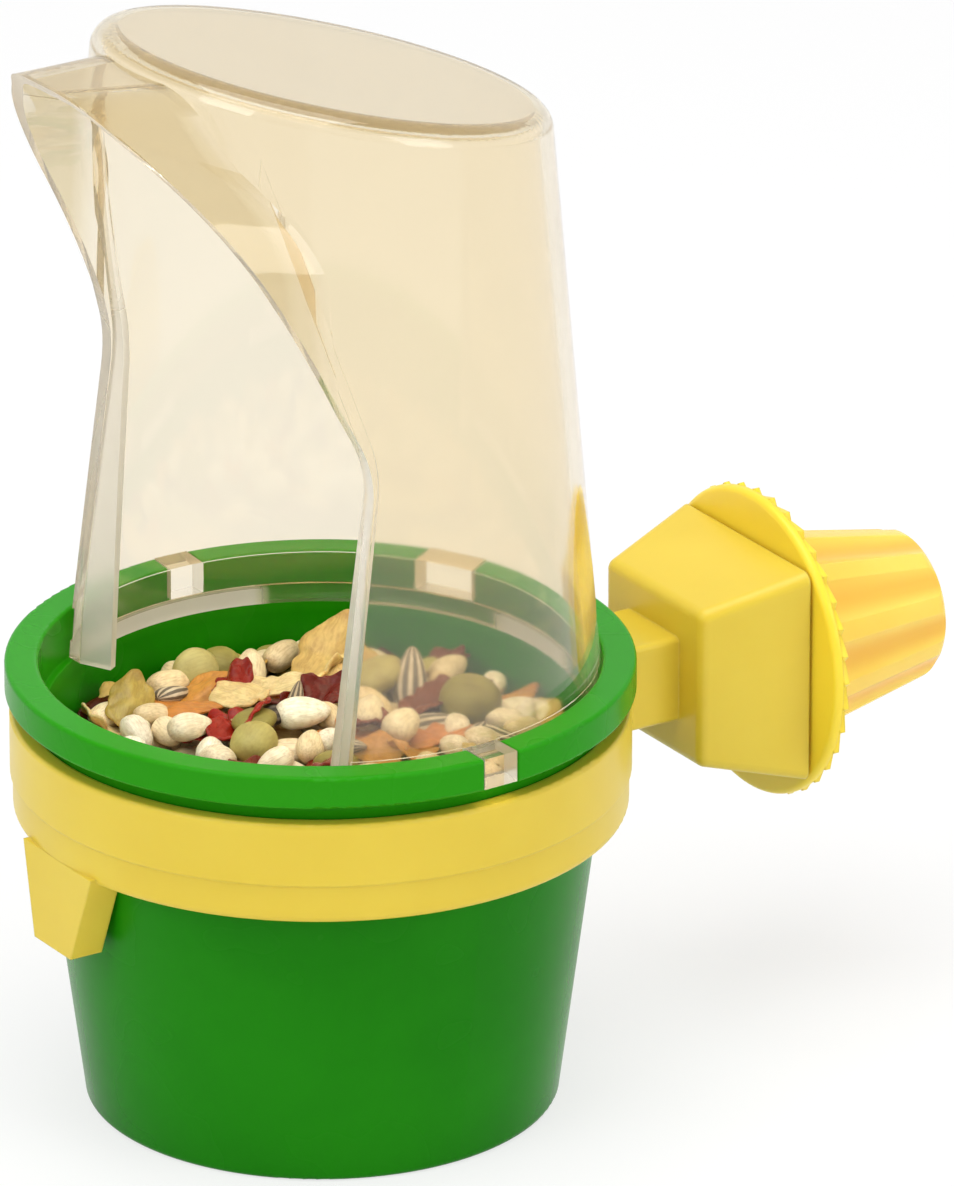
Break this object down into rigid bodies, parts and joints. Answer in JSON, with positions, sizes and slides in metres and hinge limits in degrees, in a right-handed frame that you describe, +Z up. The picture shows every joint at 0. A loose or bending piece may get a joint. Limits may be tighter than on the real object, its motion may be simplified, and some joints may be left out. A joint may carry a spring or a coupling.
{
  "type": "bird seed cup",
  "caption": "Clip-on bird seed cup: a tapered cup of seed mix in a ring holder with a screw clamp for cage wires, under a clear scatter hood with an open, visored front.",
  "frame": {"origin": "centre of the cup's flat base", "axes": "+Z up along the cup's axis, +Y along the clamp arm, the hood's open front towards -Y"},
  "size_m": [0.08, 0.1318, 0.1454],
  "materials": {
    "green_plastic": "moulded gloss",
    "clear_plastic": "clear moulded",
    "yellow_plastic": "moulded satin",
    "amber_plastic": "translucent moulded gloss",
    "mixed_seed": "dry matte",
    "white_seed": "dry smooth",
    "green_pea": "dry matte",
    "striped_seed": "dry striped",
    "golden_flake": "dry translucent",
    "red_flake": "dry glossy"
  },
  "bodies": {
    "holder": {"holder": "yellow_plastic", "clamp_stud": "yellow_plastic"},
    "cup": {"seed_cup": "green_plastic", "seed_bed": "mixed_seed", "safflower_seeds": "white_seed", "dried_peas": "green_pea", "sunflower_seeds": "striped_seed", "fruit_flakes": "golden_flake", "chilli_flakes": "red_flake"},
    "hood": {"hood": "clear_plastic"},
    "plate": {"clamp_plate": "yellow_plastic"},
    "knob": {"clamp_knob": "amber_plastic"}
  },
  "joints": [
    {"name": "cup_lift", "type": "slide", "parent": "holder", "child": "cup", "axis": [0, 0, 1], "range_m": [0, 0.062]},
    {"name": "hood_lift", "type": "slide", "parent": "cup", "child": "hood", "axis": [0, 0, 1], "range_m": [0, 0.03]},
    {"name": "plate_slide", "type": "slide", "parent": "holder", "child": "plate", "axis": [0, 1, 0], "range_m": [-0.00041, 0.01001]},
    {"name": "knob_turn", "type": "hinge", "parent": "plate", "child": "knob", "pos_m": [0, 0.0671, 0.0469], "axis": [0, 1, 0], "range_deg": [-57.6, 1440]}
  ],
  "couplings": [
    {"joint": "plate_slide", "follows": "knob_turn", "m_per_rad": 0.00039789}
  ]
}
